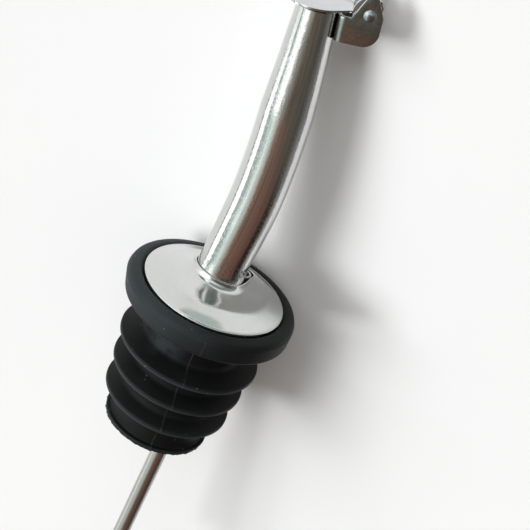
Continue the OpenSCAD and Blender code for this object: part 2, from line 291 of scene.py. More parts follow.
def vent_point(z):
    return Vector((VENT_OFFSET * math.cos(VENT_ANGLE), VENT_OFFSET * math.sin(VENT_ANGLE), z))


def stopper_angles():
    """Even steps round the stopper, with finer ones at the parting lines."""
    marks = []
    for line in PARTING_LINES:
        marks += [line + s * d / FIN_R[0] for d in PARTING_STEPS for s in (-1, 1) if d or s > 0]
    even = [a for a in turns(168) if all(abs(math.sin((a - m) / 2)) > 0.009 for m in marks)]
    return sorted(a % (2 * math.pi) for a in even + marks)


def stopper_shape(p, r, z, a):
    """Lets the soft body lean a little, raises the parting lines and roughens the edge at the bottom."""
    outside = r > CORE_R - 0.1
    grow = 0.0
    if outside:
        p = p + Vector((BODY_LEAN * ease(-z / BODY_LEAN_DEPTH), 0, 0))
    if r > RECESS_R and -0.1 < z < FLANGE_H:
        pouring_side = (0.5 - 0.5 * math.cos(a - AZIMUTH)) ** 2
        grow -= FLANGE_LEAN * pouring_side * ease((FLANGE_LEAN_TOP - z) / FLANGE_LEAN_H)
    if outside and z < FLANGE_H - 0.1:
        for line in PARTING_LINES:
            away = r * math.atan2(math.sin(a - line), math.cos(a - line))
            grow += PARTING_H * math.exp(-(away / PARTING_W) ** 2)
    if z < STOPPER_BOTTOM + 0.5 and r > FIN_R[-1] - 0.5:
        waves = sum(size * math.sin(count * a + start) for size, count, start in RAGGED_WAVES)
        grow += RAGGED * waves + RAGGED_MEAN
    scale = min(1 + grow / r, (FLANGE_R - EDGE_ROOM) / max(r, 1.0))
    return Vector((p.x * scale, p.y * scale, p.z))


def stopper():
    corners = [(STEM_R - GRIP, STOPPER_BOTTOM, 0)]
    for i in reversed(range(len(FIN_R))):
        r, z = FIN_R[i], FIN_Z[i]
        lowest = i == len(FIN_R) - 1
        if not lowest:
            corners.append((CORE_R, z + FIN_DROOP - FIN_ROOT / 2, ROOT_BELOW))
        corners += [(r + out, z + up, cut) for out, up, cut in (LOWEST_FIN_EDGE if lowest else FIN_EDGE)]
        corners.append((CORE_R, z + FIN_DROOP + FIN_ROOT / 2, ROOT_ABOVE))
    corners += [*FLANGE_EDGE, (STEM_R - GRIP, SEAT_Z, 0)]
    piece = lathe("stopper", rounded(corners, 8), stopper_angles(), 50, shape=stopper_shape)
    combine(piece, round_bar("vent_bore", VENT_R - GRIP, STOPPER_BOTTOM - 2, SEAT_Z + 1, 48,
                             Matrix.Translation(vent_point(0))))
    finish_shading(piece.data, 50)
    mark_dust_and_light(piece)
    return piece


def mark_dust_and_light(piece):
    """Marks how much lighter the rubber is painted, for dust and wear and for painted light: most on the fins'
    rims, some on the flange, more on its side towards the lamps, none in between.
    """
    field = piece.data.attributes.new("dust_and_painted_light", "FLOAT", "POINT")
    for i, vertex in enumerate(piece.data.vertices):
        x, y, z = vertex.co / MM
        r = math.hypot(x - (BODY_LEAN if z < -1 else 0), y)
        # Painted light: the flange's side towards the lamps is lighter
        side = math.tanh(3 * x / max(r, 1.0))
        dust_and_painted_light = (FLANGE_DUST_AND_LIGHT - FLANGE_SIDE_LIGHT * side) * ease((z - LIGHTER_START) / LIGHTER_RISE)
        # Each fin's rim gets a lighter band, partly wear and partly a painted highlight
        for fin_r, fin_z in zip(FIN_R, FIN_Z):
            band = math.exp(-((z - fin_z + RIM_BAND_BELOW) / RIM_BAND_W) ** 2)
            dust_and_painted_light = max(dust_and_painted_light, ease((r - fin_r + RIM_BAND_IN) / RIM_BAND_W) * band)
        field.data[i].value = dust_and_painted_light


# Spout
# The foot stands off the stopper's axis, towards the pouring side, and widens. The tip stands to the back
FOOT_SHIFT, FOOT_BELL, TIP_SHIFT = -0.45, 0.18, 0.18
# Lengths above the flange's underside at which these start, or end, and over which they come and go
FOOT_RISE, FOOT_FADE_START, FOOT_FADE = 4.5, 5.0, 19.0
BELL_END, BELL_FADE = 11.0, 3.5
TIP_SHIFT_START, TIP_SHIFT_RISE = 34.0, 14.0
# Rounding of the mouth's edges, and the length over which the rings turn to the mouth's plane
MOUTH_EDGE, MOUTH_TURN = 0.08, 8.0


def spout_station(s):
    """Centre, tilt and outer radius of the spout at a length s above the flange's underside."""
    foot = FOOT_SHIFT * (1 - ease((s - FOOT_FADE_START) / FOOT_FADE)) * ease(s / FOOT_RISE)
    tip = TIP_SHIFT * ease((s - TIP_SHIFT_START) / TIP_SHIFT_RISE)
    shift = Vector((foot + tip, 0, 0))
    bend_len = BEND_R * BEND
    if s < BEND_START:
        r = STEM_R + (BODY_R - STEM_R) * max(0.0, s - FLARE_START) / (BEND_START - FLARE_START)
        bell = FOOT_BELL * ease((BELL_END - s) / BELL_FADE) if s > 0 else 0.0
        return Vector((0, 0, s)) + shift, 0.0, r + bell
    if s < BEND_START + bend_len:
        a = (s - BEND_START) / BEND_R
        centre = Vector((-BEND_R * (1 - math.cos(a)), 0, BEND_START + BEND_R * math.sin(a)))
        return centre + shift, a, BODY_R
    t = s - BEND_START - bend_len
    return BEND_END + TIP_AXIS * t + shift, BEND, BODY_R + (MOUTH_R - BODY_R) * t / TIP_LEN


def spout():
    total = BEND_START + BEND_R * BEND + TIP_LEN
    count = 120
    lengths = [STOPPER_BOTTOM, STOPPER_BOTTOM + 0.1]
    lengths += list(np.arange(STOPPER_BOTTOM + 4, 7, 2.0)) + list(np.arange(7, total - 1.5, 0.75))
    lengths += [total - 0.9, total - 0.4]
    outside = [(s, 0.0) for s in lengths] + [(total - MOUTH_EDGE, 0.0), (total, MOUTH_EDGE)]
    inside = [(total, WALL - MOUTH_EDGE), (total - MOUTH_EDGE, WALL)]
    inside += [(s, WALL) for s in reversed(lengths[::3])] + [(STOPPER_BOTTOM, WALL)]
    points, straight = [], []
    for s, inset in outside + inside:
        centre, tilt, r = spout_station(s)
        r -= inset
        across = Vector((math.cos(tilt), 0, math.sin(tilt)))
        along = Vector((-math.sin(tilt), 0, math.cos(tilt)))
        skew = ease((s - total + MOUTH_TURN) / MOUTH_TURN)
        for a in turns(count):
            x, y = r * math.cos(a), r * math.sin(a)
            lean = x * math.tan(TAPER) * skew
            points.append(centre + across * x + Vector((0, y, 0)) + along * lean)
            straight.append((x, y, s))
    piece = mesh_piece("spout", points, grid_faces(len(outside + inside), count), 40)
    store_straight(piece, points, straight)
    return piece


def store_straight(piece, points, straight):
    """Keeps each point's place on the unbent tube, for the grain that runs along it."""
    lookup = {tuple(round(v, 3) for v in p): q for p, q in zip(points, straight)}
    field = piece.data.attributes.new("straight", "FLOAT_VECTOR", "POINT")
    for i, vertex in enumerate(piece.data.vertices):
        key = tuple(round(v / MM, 3) for v in vertex.co)
        field.data[i].vector = lookup.get(key) or nearest(lookup, key)


def nearest(lookup, key):
    return lookup[min(lookup, key=lambda k: sum((a - b) ** 2 for a, b in zip(k, key)))]


# Plate
# The angle by which the lip falls towards the vent tube, and how far it bulges between the two tubes
LIP_FALL, EGG_BULGE = math.radians(8.5), 1.2
# The lip's clearance to the spout, the rounding of its edge, and its draft
LIP_GAP, LIP_EDGE, LIP_DRAFT = 0.04, 0.12, 0.02
# Width and height of the collar beside the spout, and how much less these and its wall are beside the vent tube
COLLAR_W, COLLAR_H = 0.85, 1.25
LESS_W, LESS_H, LESS_WALL = 0.2, 0.75, 0.08
# The opening's radius where the collar starts to change from the one to the other, and over which it changes
VENT_SIDE_START, VENT_SIDE_W = 4.3, 2.2
# The knee of the collar's curve: how far it stands out, its height as a share of the width, and its least depth
KNEE_OUT, KNEE_SHARE, KNEE_LEAST = 0.05, 0.4, 0.1
# Radius up to which the plate is shifted with the spout's foot, and the width over which that fades
FOLLOW_R, FOLLOW_FADE = 5, 6
# The crown's slopes at its start and at its shoulder, as shares of the slope outside the shoulder
CROWN_START, CROWN_START_R, CROWN_END, SHOULDER_R, SHOULDER_W = 0.16, 4.5, 0.5, 9.0, 1.0
# Extra slope where the collar's foot runs out into the crown, and its width
RUNOUT, RUNOUT_W = 0.45, 2.4
# Extra slope of the rim, and the radius where it starts
RIM_FALL, RIM_FALL_R = -0.1, 10.2
# A shallow dent in that rim: its extra slope, its middle in degrees and its half width
DENT, DENT_TURN, DENT_W = 0.48, 264.0, 16.0
# Width of the flat at the plate's edge, and the rounding of that edge
RIM_FLAT, RIM_EDGE = 0.3, 0.28
# Steps of a section over the collar and over the crown
COLLAR_STEPS, CROWN_STEPS = 12, 40


def egg_radius(angle, spout_r, vent_r):
    """Distance from the spout's foot to an egg-shaped outline round the foot and the vent tube."""
    way = vent_point(0) - Vector((FOOT_SHIFT, 0, 0))
    turn = angle - math.atan2(way.y, way.x)
    steps = 120
    best = 0.0
    for k in range(steps + 1):
        s = k / steps
        r = spout_r + (vent_r - spout_r) * s + EGG_BULGE * s * (1 - s) ** 2
        inside = r * r - (s * way.length * math.sin(turn)) ** 2
        if inside >= 0:
            best = max(best, s * way.length * math.cos(turn) + math.sqrt(inside))
    return best


def lip_height(x, y):
    """Height of the collar's tilted lip."""
    along = x * math.cos(VENT_ANGLE) + y * math.sin(VENT_ANGLE)
    return COLLAR_TOP - along * math.tan(LIP_FALL)


def crown_slope(r, foot, turn):
    """Slope of the plate outside the collar: a round crown, and a steeper ring outside its soft shoulder."""
    inner = CROWN_START + (CROWN_END - CROWN_START) * ease((r - CROWN_START_R) / (SHOULDER_R - CROWN_START_R))
    inner += RUNOUT * (1 - ease((r - foot) / RUNOUT_W))
    fall = RIM_FALL + DENT * math.exp(-((math.degrees(turn) - DENT_TURN) / DENT_W) ** 2)
    outer = 1 + fall * ease((r - RIM_FALL_R) / (PLATE_R - RIM_FALL_R))
    return inner + (outer - inner) * ease((r - SHOULDER_R) / SHOULDER_W + 0.5)


def plate_section(turn):
    """The plate's closed section (r, z) at a turn: the opening's edge, the top, the rim and the underside."""
    inner = egg_radius(turn, spout_station(COLLAR_TOP)[2] + LIP_GAP, VENT_R + VENT_GAP)
    vent_side = ease((inner - VENT_SIDE_START) / VENT_SIDE_W)
    outer = inner + LIP_WALL - LESS_WALL * vent_side
    lip = lip_height(outer * math.cos(turn) + FOOT_SHIFT, outer * math.sin(turn))
    wide, tall = COLLAR_W - LESS_W * vent_side, COLLAR_H - LESS_H * vent_side
    foot_r, foot_z = outer + wide, lip - tall
    end_r = PLATE_R - RIM_FLAT
    neck_r, neck_z = outer - LIP_DRAFT, lip - LIP_EDGE
    top = [(neck_r, neck_z)]
    knee = max(tall - LIP_EDGE - KNEE_SHARE * wide, KNEE_LEAST)
    for k in range(1, COLLAR_STEPS + 1):
        t = k / COLLAR_STEPS
        top.append((outer + 2 * t * (1 - t) * KNEE_OUT + t * t * wide,
                    neck_z - 2 * t * (1 - t) * knee - t * t * (tall - LIP_EDGE)))
    step = (end_r - foot_r) / CROWN_STEPS
    falls = np.cumsum([crown_slope(foot_r + step * (k + 0.5), foot_r, turn) for k in range(CROWN_STEPS)])
    for k in range(CROWN_STEPS):
        top.append((foot_r + step * (k + 1), foot_z - (foot_z - RIM_TOP) * falls[k] / falls[-1]))
    rim = rounded([(end_r, RIM_TOP, 0), (PLATE_R, RIM_TOP, RIM_EDGE), (PLATE_R, SEAT_Z, 0)], closed=False)[1:]
    under = [(PLATE_R - PLATE_T, SEAT_Z), (PLATE_R - PLATE_T, RIM_TOP - PLATE_T)]
    under += [(r - 0.1, z - PLATE_T) for r, z in reversed(top[COLLAR_STEPS:-4:4])]
    under += [(inner, foot_z - PLATE_T)]
    edge = rounded([(inner, foot_z - PLATE_T, 0), (inner, lip, LIP_EDGE), (neck_r, lip, LIP_EDGE),
                    (neck_r, neck_z, 0)], closed=False)[1:-1]
    return [tuple(p) for p in edge + top + rim + under]


def plate():
    angles = turns(288)
    sections = [plate_section(a) for a in angles]
    rows = len(sections[0])
    points = []
    for i in range(rows):
        for a, section in zip(angles, sections):
            r, z = section[i]
            shift = FOOT_SHIFT * (1 - ease((r - FOLLOW_R) / FOLLOW_FADE))
            points.append(Vector((r * math.cos(a) + shift, r * math.sin(a), z)))
    return mesh_piece("plate", points, grid_faces(rows, len(angles)), 40)


# Vent tube, bracket, rivet and lid
# Steps round a rivet hole of the bracket, and over one of its bends
HOLE_STEPS, BEND_STEPS = 28, 8
# The lid's flat is thinner than its ears, by this much from below
LID_THINNER = 0.38


def vent():
    bottom = STOPPER_BOTTOM - VENT_DROP
    top = COLLAR_TOP - VENT_OFFSET * math.tan(LIP_TILT) - VENT_RECESS
    corners = [(VENT_BORE, bottom, 0.12), (VENT_R, bottom, 0.15)]
    corners += [(VENT_R, bottom + (top - bottom) * k / 8, 0) for k in range(1, 8)]
    corners += [(VENT_R, top, 0.14), (VENT_BORE, top, 0.12)]
    return lathe("vent", rounded(corners, 3), turns(48), 40, place=Matrix.Translation(vent_point(0)))


def ear_outline():
    """Outline of one ear, from the shoulder's notch round the arm and the rear edge to the lower front."""
    low = -BRACKET_DROP
    notch, rear = (NOTCH_X, SHOULDER), (EAR_X1, HINGE_Z)
    left, right = touch(notch, EAR_TOP, EAR_TOP_R, 1), touch(rear, EAR_TOP, EAR_TOP_R, -1)
    left_a = math.atan2(left.y - EAR_TOP[1], left.x - EAR_TOP[0])
    right_a = math.atan2(right.y - EAR_TOP[1], right.x - EAR_TOP[0])
    points = [Vector(notch)]
    points += circle_points(EAR_TOP, EAR_TOP_R, left_a, right_a, 14)
    points += [Vector(rear)]
    points += circle_points((EAR_X1 - EAR_CORNER_R, low + EAR_CORNER_R), EAR_CORNER_R, 0, -math.pi / 2, 12)
    return points


def bracket():
    """A flat blank of sheet, cut to its outline and folded into a channel."""
    flat = BRACKET_Y - BRACKET_BEND_R
    middle_r = BRACKET_BEND_R - BRACKET_T / 2
    bend_len = middle_r * math.pi / 2
    shift = flat + bend_len - EAR_X0
    ear = [Vector((p.x + shift, p.y)) for p in ear_outline()]
    outline = ear + [Vector((-p.x, p.y)) for p in reversed(ear)]
    bm = bmesh.new()

    def loop(points):
        verts = [bm.verts.new((p.x, p.y, 0)) for p in points]
        return [bm.edges.new((verts[i], verts[(i + 1) % len(verts)])) for i in range(len(verts))]

    edges = loop(outline)
    for side in (-1, 1):
        hole_end = 2 * math.pi * (HOLE_STEPS - 1) / HOLE_STEPS
        edges += loop(circle_points((side * (HINGE_X + shift), HINGE_Z), RIVET_R + RIVET_FIT, 0,
                                    hole_end, HOLE_STEPS - 1))
    bmesh.ops.triangle_fill(bm, edges=edges, use_beauty=True)
    for side in (-1, 1):
        for k in range(BEND_STEPS + 1):
            line = side * (flat + bend_len * k / BEND_STEPS)
            bmesh.ops.bisect_plane(bm, geom=bm.verts[:] + bm.edges[:] + bm.faces[:], dist=1e-5,
                                   plane_co=(line, 0, 0), plane_no=(1, 0, 0))
    bm.verts.index_update()

    def fold(co, offset):
        s, side = abs(co.x), 1 if co.x > 0 else -1
        if s <= flat:
            return Vector((WEB_X + BRACKET_T / 2 - offset, co.x, co.y))
        if s <= flat + bend_len:
            a = (s - flat) / middle_r
            r = middle_r + offset
            return Vector((EAR_X0 - r * math.cos(a), side * (flat + r * math.sin(a)), co.y))
        return Vector((EAR_X0 + s - flat - bend_len, side * (flat + middle_r + offset), co.y))

    count = len(bm.verts)
    points = [fold(v.co, offset) for offset in (BRACKET_T / 2, -BRACKET_T / 2) for v in bm.verts]
    faces = [tuple(v.index for v in f.verts) for f in bm.faces]
    faces += [tuple(count + v.index for v in reversed(f.verts)) for f in bm.faces]
    for edge in bm.edges:
        if len(edge.link_faces) == 1:
            a, b = (v.index for v in edge.verts)
            faces.append((a, b, count + b, count + a))
    bm.free()
    piece = mesh_piece("bracket", points, faces, place=MOUTH_FRAME)
    bevel(piece, 0.07)
    mark_edge_highlights(piece)
    return piece


def mark_edge_highlights(piece):
    """Marks the bracket's sheared edges, along its top and round its ears, for brighter steel that also paints
    their highlight.
    """
    back = MOUTH_FRAME.inverted()
    field = piece.data.attributes.new("cut_edge_highlight", "FLOAT", "FACE")
    for i, face in enumerate(piece.data.polygons):
        normal, centre = back.to_3x3() @ face.normal, back @ (face.center / MM)
        field.data[i].value = float(normal.z > 0.7 or abs(normal.y) < 0.8 and centre.x > EAR_X0)


def rivet():
    sphere_r = (RIVET_HEAD_R ** 2 + RIVET_HEAD_H ** 2) / (2 * RIVET_HEAD_H)
    steps = 10
    dome = []
    for k in range(steps + 1):
        r = RIVET_HEAD_R * (1 - k / steps)
        dome.append((r, BRACKET_Y + RIVET_HEAD_H - sphere_r + math.sqrt(sphere_r ** 2 - r * r)))
    tail_z = -BRACKET_Y - RIVET_TAIL_H
    profile = [(0, tail_z)]
    profile += [tuple(p) for p in rounded([
        (NEAR_AXIS, tail_z, 0), (RIVET_HEAD_R, tail_z, 0.18), (RIVET_HEAD_R, -BRACKET_Y, 0.05),
        (RIVET_R, -BRACKET_Y, 0), (RIVET_R, BRACKET_Y, 0), (RIVET_HEAD_R, BRACKET_Y, 0)], 4, closed=False)]
    return lathe("rivet", profile + dome, turns(48), place=HINGE_FRAME)


def lid():
    neck_x = NOTCH_X - LID_NECK_GAP
    end_x = HINGE_X - RIVET_R - LID_T
    middle = (-LID_SHIFT, 0)
    upper, lower = touch((neck_x, LID_Y), middle, LID_R, -1), touch((neck_x, -LID_Y), middle, LID_R, 1)
    start = math.atan2(upper.y, upper.x + LID_SHIFT)
    end = math.atan2(lower.y, lower.x + LID_SHIFT) + 2 * math.pi
    outline = circle_points(middle, LID_R, start, end, 72)
    outline += [Vector((neck_x, -LID_Y)), Vector((end_x, -LID_Y))]
    outline += [Vector((end_x, LID_Y)), Vector((neck_x, LID_Y))]
    piece = prism("lid", outline, LID_GAP + LID_THINNER, LID_GAP + LID_T, place=MOUTH_FRAME)
    cut = math.acos(LID_EAR_BACK / LID_EAR_R)
    for side in (-1, 1):
        ear = circle_points((HINGE_X, HINGE_Z), LID_EAR_R, cut, 2 * math.pi - cut, 44)
        low, high = sorted((side * LID_Y, side * (LID_Y - LID_T)))
        combine(piece, prism("lid_ear", ear, low, high, "Y", MOUTH_FRAME), "UNION")
    combine(piece, round_bar("lid_hole", RIVET_R + LID_FIT, -4, 4, 32, HINGE_FRAME))
    bevel(piece, 0.08, 3)
    return piece


pieces = {
    "rubber_stopper": stopper(), "cover_plate": plate(), "spout_tube": spout(), "vent_tube": vent(),
    "hinge_bracket": bracket(), "hinge_rivet": rivet(), "flap_lid": lid()}


# Materials
class Nodes:
    """A material or world node tree, with short calls to add and link nodes."""

    def __init__(self, owner):
        owner.use_nodes = True
        self.tree = owner.node_tree
        self.tree.nodes.clear()

    def add(self, kind, **settings):
        node = self.tree.nodes.new(kind)
        for key, value in settings.items():
            setattr(node, key, value)
        return node

    def link(self, output, target):
        self.tree.links.new(output, target)

    def set(self, node, **values):
        for key, value in values.items():
            node.inputs[key.replace("_", " ")].default_value = value

    def feed(self, value, socket):
        """Links an output to a socket, or writes a constant number or (r, g, b) colour to it."""
        if isinstance(value, tuple):
            socket.default_value = (*value, 1)
        elif isinstance(value, (int, float)):
            socket.default_value = value
        else:
            self.link(value, socket)

    def output(self, surface, kind="ShaderNodeOutputMaterial"):
        self.link(surface, self.add(kind).inputs["Surface"])

    def attribute(self, name, output="Fac"):
        return self.add("ShaderNodeAttribute", attribute_name=name).outputs[output]

    def coordinates(self, output="Object"):
        return self.add("ShaderNodeTexCoord").outputs[output]

    def math(self, operation, a, b=None, clamp=False):
        node = self.add("ShaderNodeMath", operation=operation, use_clamp=clamp)
        self.feed(a, node.inputs[0])
        if b is not None:
            self.feed(b, node.inputs[1])
        return node.outputs[0]

    def vector_math(self, operation, vector, constant):
        """The number that a dot product or a distance to a constant vector gives."""
        node = self.add("ShaderNodeVectorMath", operation=operation)
        self.link(vector, node.inputs[0])
        node.inputs[1].default_value = tuple(constant)
        return node.outputs["Value"]

    def part(self, vector, axis):
        node = self.add("ShaderNodeSeparateXYZ")
        self.link(vector, node.inputs[0])
        return node.outputs[axis]

    def noise(self, vector, scale, detail=3.0, roughness=0.55):
        node = self.add("ShaderNodeTexNoise")
        self.set(node, Scale=scale, Detail=detail, Roughness=roughness)
        self.link(vector, node.inputs["Vector"])
        return node.outputs["Fac"]

    def stretch(self, vector, scale):
        node = self.add("ShaderNodeMapping")
        node.inputs["Scale"].default_value = scale
        self.link(vector, node.inputs["Vector"])
        return node.outputs["Vector"]

    def spread(self, value, low, high, to_low=0.0, to_high=1.0):
        node = self.add("ShaderNodeMapRange")
        for key, v in (("From Min", low), ("From Max", high), ("To Min", to_low), ("To Max", to_high)):
            node.inputs[key].default_value = v
        self.link(value, node.inputs["Value"])
        return node.outputs["Result"]

    def ramp(self, value, stops):
        node = self.add("ShaderNodeValToRGB")
        elements = node.color_ramp.elements
        while len(elements) < len(stops):
            elements.new(0.5)
        for element, (place, colour) in zip(elements, stops):
            element.position = place
            element.color = (*colour, 1)
        self.link(value, node.inputs["Fac"])
        return node.outputs["Color"]

    def mix(self, factor, first, second):
        """Blends two colours, each an output or a constant."""
        node = self.add("ShaderNodeMix", data_type="RGBA")
        self.link(factor, node.inputs["Factor"])
        self.feed(first, node.inputs[6])
        self.feed(second, node.inputs[7])
        return node.outputs[2]

    def mix_shader(self, factor, first, second):
        node = self.add("ShaderNodeMixShader")
        for socket, output in zip(node.inputs, (factor, first, second)):
            self.link(output, socket)
        return node.outputs[0]

    def background(self, colour, strength):
        node = self.add("ShaderNodeBackground")
        self.feed(colour, node.inputs["Color"])
        self.set(node, Strength=strength)
        return node.outputs[0]

    def bump(self, height, strength, distance):
        node = self.add("ShaderNodeBump")
        self.set(node, Strength=strength, Distance=distance)
        self.link(height, node.inputs["Height"])
        return node.outputs["Normal"]


def principled(name, **values):
    """A new material, its nodes and its one shader with these values."""
    material = bpy.data.materials.new(name)
    n = Nodes(material)
    shader = n.add("ShaderNodeBsdfPrincipled")
    n.set(shader, **values)
    return material, n, shader


# Painted shade inside the bracket's channel, and brighter steel on its sheared edges, which also paints their
# highlight
CHANNEL_SHADE, SHEARED_EDGE_HIGHLIGHT = (0.07, 0.07, 0.07), (0.9, 0.91, 0.9)


def metal(name, light, dark, rough, grain_scale, field=None, bump=0.04, smudge=0.05, pits=0.0, shaded_channel=None):
    """Polished steel with a fine grain: light and dark are its colours, rough its range of roughness.

    field is an attribute to lay the grain along. pits sets how deep small pits are. The last argument is for a
    folded
    channel: the distances from its middle plane between which the painted shade inside it ends, and its sheared
    edges get a painted highlight.
    """
    material, n, shader = principled(name, Metallic=1.0)
    vector = n.attribute(field, "Vector") if field else n.coordinates()
    unit = 1.0 if field else 1 / MM
    grain = n.noise(n.stretch(vector, tuple(unit * s for s in grain_scale)), 1.0, 4.0, 0.6)
    cloud = n.noise(vector, 0.35 * unit, 3.0)
    colour = n.ramp(grain, [(0.3, dark), (0.62, light)])
    if shaded_channel:
        # Painted shade over the channel's web and inner bend, fading out between the two distances
        away = n.math("ABSOLUTE", n.part(vector, "Y"))
        colour = n.mix(n.spread(away, shaded_channel[0] * MM, shaded_channel[1] * MM, 1.0, 0.0), colour, CHANNEL_SHADE)
        # Brighter steel on the sheared edges, which paints their highlight
        colour = n.mix(n.attribute("cut_edge_highlight"), colour, SHEARED_EDGE_HIGHLIGHT)
    n.link(colour, shader.inputs["Base Color"])
    grain_rough = n.spread(grain, 0.3, 0.7, rough[0], rough[1])
    n.link(n.math("ADD", grain_rough, n.spread(cloud, 0.45, 0.75, 0.0, smudge)), shader.inputs["Roughness"])
    relief = grain
    if pits:
        specks = n.spread(n.noise(vector, 3.5 * unit, 2.0), 0.54, 0.74)
        relief = n.math("ADD", grain, n.math("MULTIPLY", specks, pits))
    n.link(n.bump(relief, bump, 0.05 * MM), shader.inputs["Normal"])
    n.output(shader.outputs[0])
    return material


# The rubber's colour from clean to dusty, lighter as dust, wear and painted light grow, and the colours of its
# parting lines and of specks of dust
RUBBER = (
    (0.0, (0.0058, 0.0062, 0.0063)), (0.5, (0.0138, 0.0168, 0.0177)), (1.0, (0.026, 0.0325, 0.034)))
PARTING_COLOUR, SPECK_COLOUR = (0.032, 0.031, 0.03), (0.11, 0.116, 0.116)
# Radius of a speck, and the share of the cells without one
SPECK_R, SPECK_FREE = 0.11, 0.85
# Half width of a pale parting line, inside and outside its soft edge, and the height where it ends
LINE_IN, LINE_OUT, LINE_TOP = 0.05, 0.16, 3.2
# A pale patch under the flange, partly dust and partly a painted highlight: its middle, its radius inside and
# outside its soft edge, and its strength
PALE_PATCH, PALE_PATCH_IN, PALE_PATCH_OUT, PALE_PATCH_LIGHT = (-4.6, -7.0, -3.0), 2.4, 5.0, 0.9


def rubber(name):
    """Black moulded rubber: matt, a little dusty, with painted light on its rims, its flange and a patch below
    it, and pale parting lines.
    """
    material, n, shader = principled(name, Specular_IOR_Level=0.18)
    vector = n.coordinates()
    fine = n.noise(vector, 4 / MM, 4.0, 0.65)
    cloud = n.noise(vector, 0.16 / MM, 4.0)

    cells = n.add("ShaderNodeTexVoronoi", feature="F1")
    n.set(cells, Scale=1.0 / MM)
    n.link(vector, cells.inputs["Vector"])
    chance = n.add("ShaderNodeSeparateColor")
    n.link(cells.outputs["Color"], chance.inputs[0])
    speck = n.math("MULTIPLY", n.math("LESS_THAN", cells.outputs["Distance"], SPECK_R),
                   n.math("GREATER_THAN", chance.outputs[0], SPECK_FREE))

    across = n.vector_math("DOT_PRODUCT", vector, (math.sin(PARTING_ANGLE), -math.cos(PARTING_ANGLE), 0))
    line = n.spread(n.math("ABSOLUTE", across), LINE_IN * MM, LINE_OUT * MM, 1.0, 0.0)
    line = n.math("MULTIPLY", line, n.math("LESS_THAN", n.part(vector, "Z"), LINE_TOP * MM))
    line = n.math("MULTIPLY", line, n.spread(n.noise(vector, 0.9 / MM), 0.3, 0.6, 0.0, 0.8))

    # A pale patch under the flange: partly dust, partly a painted highlight
    away = n.vector_math("DISTANCE", vector, Vector(PALE_PATCH) * MM)
    smudge = n.math("MULTIPLY", n.spread(away, PALE_PATCH_IN * MM, PALE_PATCH_OUT * MM, PALE_PATCH_LIGHT, 0.0),
                    n.spread(n.noise(vector, 0.35 / MM, 3.0), 0.3, 0.5))
    # The marked dust, wear and painted light, and the pale patch, lighten the rubber
    wear_and_light = n.math("MAXIMUM", n.attribute("dust_and_painted_light"), smudge)
    rubber_tone = n.math("ADD", wear_and_light, n.spread(cloud, 0.35, 0.75, -0.12, 0.16), clamp=True)
    colour = n.mix(line, n.ramp(rubber_tone, RUBBER), PARTING_COLOUR)
    n.link(n.mix(speck, colour, SPECK_COLOUR), shader.inputs["Base Color"])
    n.link(n.math("ADD", n.spread(cloud, 0.3, 0.7, 0.5, 0.62), n.spread(fine, 0.3, 0.7, -0.03, 0.05)),
           shader.inputs["Roughness"])
    n.link(n.bump(fine, 0.12, 0.04 * MM), shader.inputs["Normal"])
    n.output(shader.outputs[0])
    return material


# Scale of the grain on the spout, whose lines run along it
ALONG = (2.6, 2.6, 0.04)
materials = {
    "rubber_stopper": rubber("black_rubber"),
    "cover_plate": metal("plate_steel", (0.68, 0.69, 0.68), (0.65, 0.66, 0.65), (0.1, 0.14), (1.6, 1.6, 1.6),
                         bump=0.02),
    "spout_tube": metal("spout_steel", (0.7, 0.7, 0.69), (0.56, 0.56, 0.55), (0.05, 0.1), ALONG, "straight",
                        bump=0.09, pits=5.0, smudge=0.03),
    "vent_tube": metal("vent_steel", (0.5, 0.49, 0.47), (0.42, 0.41, 0.39), (0.26, 0.34), (8, 8, 0.05)),
    "hinge_bracket": metal("bracket_steel", (0.41, 0.45, 0.44), (0.34, 0.37, 0.36), (0.2, 0.26), (2, 2, 2),
                           shaded_channel=(1.75, 2.05)),
    "hinge_rivet": metal("rivet_steel", (0.4, 0.44, 0.46), (0.33, 0.36, 0.38), (0.22, 0.28), (3, 3, 3)),
    "flap_lid": metal("lid_steel", (0.65, 0.66, 0.67), (0.6, 0.61, 0.62), (0.08, 0.12), (0.4, 5, 3)),
}
for node, piece in pieces.items():
    piece.data.materials.clear()
    piece.data.materials.append(materials[node])
    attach(piece, "lid" if node == "flap_lid" else "body")
    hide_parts(node)


# Stage and light
PAPER = ((0.3, (0.88, 0.885, 0.885)), (0.7, (0.9, 0.9, 0.9)))
# The lamps: angle off the table's normal, turn from the picture's right, width and strength
LAMPS = (
    ("window_low", 36, 156, 16, 1.35), ("window_middle", 48, 142, 16, 1.1), ("window_high", 60, 128, 16, 0.4),
    ("far_wall", 62, 88, 50, 1.46))
LAMP_COLOUR = (0.98, 1.0, 1.01)
# What the camera sees beyond the table, and the fill that matt surfaces take from the world
WHITE, FILL, FILL_STRENGTH = (0.94, 0.945, 0.945), (1.0, 0.92, 0.84), 0.22

